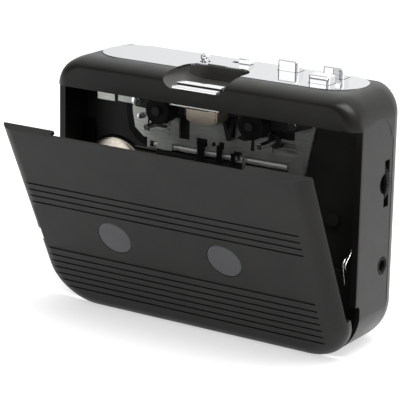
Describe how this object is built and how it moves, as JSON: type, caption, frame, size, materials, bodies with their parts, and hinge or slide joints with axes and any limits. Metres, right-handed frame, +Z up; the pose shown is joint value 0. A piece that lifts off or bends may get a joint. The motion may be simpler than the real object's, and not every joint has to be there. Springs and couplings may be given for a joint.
{
  "type": "cassette player",
  "caption": "Portable cassette player with a bottom-hinged door, tape deck mechanism, top keys and a rear battery cover.",
  "frame": {"origin": "centre of the flat base that the player stands on", "axes": "+X along the width to the viewer's right, +Y from the door side to the back, +Z up"},
  "size_m": [0.1171, 0.063, 0.0898],
  "materials": {
    "black_casing": "satin",
    "black_door": "satin",
    "silver_plate": "mirror",
    "chrome_trim": "mirror",
    "deck_metal": "satin zinc plate",
    "dark_plastic": "matte",
    "smoked_window": "satin",
    "spring_steel": "bright",
    "bright_steel": "polished",
    "head_metal": "polished",
    "flywheel_metal": "turned",
    "motor_can": "satin",
    "brass": "turned",
    "black_rubber": "matte",
    "board_green": "satin"
  },
  "bodies": {
    "case": {"front_shell": "black_casing", "rear_shell": "black_casing", "top_plate": "silver_plate", "chassis": "dark_plastic", "battery_tray": "dark_plastic", "key_bracket": "bright_steel", "deck_plate": "deck_metal", "door_spring": "spring_steel", "hinge_pins": "spring_steel", "latch_trim": "chrome_trim", "latch_spring": "spring_steel", "play_spring": "spring_steel", "wind_spring": "spring_steel", "stop_spring": "spring_steel", "knob_spring": "spring_steel", "carriage_spring": "spring_steel", "capstan_bushes": "dark_plastic", "drive_belt": "black_rubber", "motor": "motor_can", "spindle_posts": "bright_steel", "rod_spring": "spring_steel", "deck_levers": "dark_plastic", "pivot_pins": "bright_steel", "circuit_board": "board_green", "volume_pot": "dark_plastic", "headphone_jack": "dark_plastic", "battery_contacts": "spring_steel", "case_screws": "bright_steel"},
    "door": {"door": "black_door", "door_windows": "smoked_window", "door_clip": "spring_steel"},
    "latch": {"latch": "chrome_trim"},
    "play_key": {"play_key": "chrome_trim"},
    "wind_key": {"wind_key": "chrome_trim"},
    "stop_key": {"stop_key": "chrome_trim"},
    "direction_knob": {"direction_knob": "chrome_trim"},
    "mode_switch": {"mode_switch": "chrome_trim"},
    "carriage": {"head_carriage": "bright_steel", "tape_head": "head_metal"},
    "arm_left": {"pinch_arm_left": "dark_plastic"},
    "arm_right": {"pinch_arm_right": "dark_plastic"},
    "roller_left": {"pinch_roller_left": "black_rubber"},
    "roller_right": {"pinch_roller_right": "black_rubber"},
    "flywheel_left": {"flywheel_left": "flywheel_metal", "capstan_left": "bright_steel"},
    "flywheel_right": {"flywheel_right": "flywheel_metal", "capstan_right": "bright_steel"},
    "motor_pulley": {"motor_pulley": "brass"},
    "spindle_left": {"spindle_left": "dark_plastic"},
    "spindle_right": {"spindle_right": "dark_plastic"},
    "shift_rod": {"shift_rod": "bright_steel"},
    "volume_wheel": {"volume_wheel": "dark_plastic"},
    "battery_cover": {"battery_cover": "black_casing"}
  },
  "joints": [
    {"name": "door_hinge", "type": "hinge", "parent": "case", "child": "door", "pos_m": [0, -0.0121, 0.0046], "axis": [1, 0, 0], "range_deg": [-25.4, 0], "stiffness_Nm_per_rad": 0.004, "springref_deg": 17.19},
    {"name": "latch_slide", "type": "slide", "parent": "case", "child": "latch", "axis": [0, 0, 1], "range_m": [0, 0.0012], "stiffness_N_per_m": 150, "springref_m": -0.001, "deforming": ["latch_spring"]},
    {"name": "play_press", "type": "slide", "parent": "case", "child": "play_key", "axis": [0, 0, -1], "range_m": [0, 0.002], "stiffness_N_per_m": 300, "springref_m": -0.001, "deforming": ["play_spring"]},
    {"name": "wind_press", "type": "slide", "parent": "case", "child": "wind_key", "axis": [0, 0, -1], "range_m": [0, 0.002], "stiffness_N_per_m": 300, "springref_m": -0.001, "deforming": ["wind_spring"]},
    {"name": "stop_press", "type": "slide", "parent": "case", "child": "stop_key", "axis": [0, 0, -1], "range_m": [0, 0.002], "stiffness_N_per_m": 300, "springref_m": -0.001, "deforming": ["stop_spring"]},
    {"name": "direction_press", "type": "slide", "parent": "case", "child": "direction_knob", "axis": [0, 0, -1], "range_m": [0, 0.0015], "stiffness_N_per_m": 300, "springref_m": -0.001, "deforming": ["knob_spring"]},
    {"name": "mode_slide", "type": "slide", "parent": "case", "child": "mode_switch", "axis": [-1, 0, 0], "range_m": [0, 0.003]},
    {"name": "head_slide", "type": "slide", "parent": "case", "child": "carriage", "axis": [0, 0, -1], "range_m": [0, 0.0022], "stiffness_N_per_m": 80, "springref_m": -0.001, "deforming": ["carriage_spring"]},
    {"name": "arm_left_swing", "type": "hinge", "parent": "case", "child": "arm_left", "pos_m": [-0.0328, -0.0035, 0.0719], "axis": [0, 1, 0], "range_deg": [0, 8], "stiffness_Nm_per_rad": 0.004, "springref_deg": -5.73},
    {"name": "arm_right_swing", "type": "hinge", "parent": "case", "child": "arm_right", "pos_m": [0.028, -0.0035, 0.0719], "axis": [0, -1, 0], "range_deg": [0, 8], "stiffness_Nm_per_rad": 0.004, "springref_deg": -5.73},
    {"name": "roller_left_spin", "type": "hinge", "parent": "arm_left", "child": "roller_left", "pos_m": [-0.0204, -0.0075, 0.071], "axis": [0, 1, 0], "continuous": true},
    {"name": "roller_right_spin", "type": "hinge", "parent": "arm_right", "child": "roller_right", "pos_m": [0.0156, -0.0075, 0.071], "axis": [0, 1, 0], "continuous": true},
    {"name": "flywheel_left_spin", "type": "hinge", "parent": "case", "child": "flywheel_left", "pos_m": [-0.0244, 0.0055, 0.065], "axis": [0, 1, 0], "continuous": true},
    {"name": "flywheel_right_spin", "type": "hinge", "parent": "case", "child": "flywheel_right", "pos_m": [0.0196, 0.0055, 0.065], "axis": [0, 1, 0], "continuous": true},
    {"name": "motor_pulley_spin", "type": "hinge", "parent": "case", "child": "motor_pulley", "pos_m": [-0.044, 0.0095, 0.045], "axis": [0, 1, 0], "continuous": true},
    {"name": "spindle_left_spin", "type": "hinge", "parent": "case", "child": "spindle_left", "pos_m": [-0.02365, -0.0065, 0.036], "axis": [0, 1, 0], "continuous": true},
    {"name": "spindle_right_spin", "type": "hinge", "parent": "case", "child": "spindle_right", "pos_m": [0.01885, -0.0065, 0.036], "axis": [0, 1, 0], "continuous": true},
    {"name": "rod_shift", "type": "slide", "parent": "case", "child": "shift_rod", "axis": [-1, 0, 0], "range_m": [0, 0.0015], "stiffness_N_per_m": 60, "springref_m": -0.0005},
    {"name": "volume_turn", "type": "hinge", "parent": "case", "child": "volume_wheel", "pos_m": [0.0491, 0.0044, 0.0559], "axis": [0, 1, 0], "range_deg": [-135, 135]},
    {"name": "battery_cover_hinge", "type": "hinge", "parent": "case", "child": "battery_cover", "pos_m": [0, 0.0165, 0.0081], "axis": [-1, 0, 0], "range_deg": [0, 100]}
  ],
  "couplings": [
    {"joint": "head_slide", "follows": "play_press", "ratio": 1.1},
    {"joint": "arm_left_swing", "follows": "play_press", "rad_per_m": 69.8},
    {"joint": "flywheel_right_spin", "follows": "flywheel_left_spin", "ratio": 1},
    {"joint": "motor_pulley_spin", "follows": "flywheel_left_spin", "ratio": 4.85},
    {"joint": "rod_shift", "follows": "direction_press", "ratio": 1}
  ]
}
